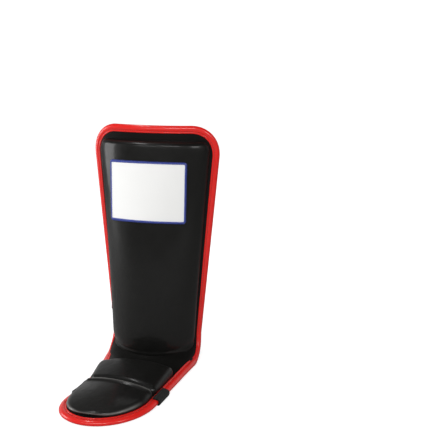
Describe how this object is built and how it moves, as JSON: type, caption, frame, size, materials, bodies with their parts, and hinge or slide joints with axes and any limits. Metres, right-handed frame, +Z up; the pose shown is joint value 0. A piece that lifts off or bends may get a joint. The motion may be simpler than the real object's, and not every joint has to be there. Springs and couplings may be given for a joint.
{
  "type": "shin and instep guard",
  "caption": "Padded shin and instep guard with a foot strap, two wrapping calf flaps and hook and loop closing straps.",
  "frame": {"origin": "on the floor, under the middle of the foot strap", "axes": "+Z up along the shin, -Y towards the toes, +X to the wearer's left"},
  "size_m": [0.1858, 0.2744, 0.343],
  "materials": {
    "base_board": "smooth black synthetic leather over a stiff fibre sheet",
    "lining": "matte black knitted lining",
    "foam": "closed foam, hidden under the covers",
    "black_cover": "satin black synthetic leather with a fine grain",
    "red_binding": "satin red synthetic leather strip, folded and stitched",
    "label": "plain woven white label, nothing printed on it",
    "label_thread": "dense blue overlock thread",
    "elastic": "ribbed charcoal elastic webbing",
    "flap_cloth": "matte black knitted cloth",
    "hook_tape": "black hook tape",
    "loop_tape": "brushed dark grey loop tape"
  },
  "bodies": {
    "instep": {"instep_base_panel": "base_board", "instep_lining": "lining", "rear_instep_foam": "foam", "rear_instep_cover": "black_cover", "toe_foam": "foam", "toe_cover": "black_cover", "instep_binding": "red_binding", "foot_strap": "elastic"},
    "shin": {"shin_base_panel": "base_board", "shin_lining": "lining", "shin_foam_core": "foam", "shin_pad_cover": "black_cover", "shin_binding": "red_binding", "label_patch": "label", "label_border": "label_thread"},
    "left_flap": {"left_calf_flap": "flap_cloth", "left_top_hem": "red_binding", "left_slit_binding": "red_binding", "left_bottom_hem": "red_binding"},
    "right_flap": {"right_calf_flap": "flap_cloth", "right_top_hem": "red_binding", "right_slit_binding": "red_binding", "right_bottom_hem": "red_binding", "upper_loop_patch": "loop_tape", "lower_loop_patch": "loop_tape"},
    "upper_strap": {"upper_strap": "elastic", "upper_hook_patch": "hook_tape"},
    "lower_strap": {"lower_strap": "elastic", "lower_hook_tab": "hook_tape"}
  },
  "joints": [
    {"name": "ankle_flex", "type": "hinge", "parent": "instep", "child": "shin", "pos_m": [0, 0.1388, 0.0105], "axis": [-1, 0, 0], "range_deg": [0, 45], "stiffness_Nm_per_rad": 1.8, "springref_deg": 1.33},
    {"name": "left_flap_swing", "type": "hinge", "parent": "shin", "child": "left_flap", "pos_m": [0.0765, 0.1585, 0.19], "axis": [-0.0892, -0.0489, -0.9948], "range_deg": [0, 60]},
    {"name": "right_flap_swing", "type": "hinge", "parent": "shin", "child": "right_flap", "pos_m": [-0.0765, 0.1585, 0.19], "axis": [-0.0892, 0.0489, 0.9948], "range_deg": [0, 60]},
    {"name": "upper_strap_swing", "type": "hinge", "parent": "left_flap", "child": "upper_strap", "pos_m": [0.0765, 0.1585, 0.19], "axis": [-0.0892, -0.0489, -0.9948], "range_deg": [0, 60]},
    {"name": "lower_strap_swing", "type": "hinge", "parent": "left_flap", "child": "lower_strap", "pos_m": [0.0765, 0.1585, 0.19], "axis": [-0.0892, -0.0489, -0.9948], "range_deg": [0, 60]}
  ],
  "couplings": [
    {"joint": "right_flap_swing", "follows": "left_flap_swing", "ratio": 1}
  ]
}
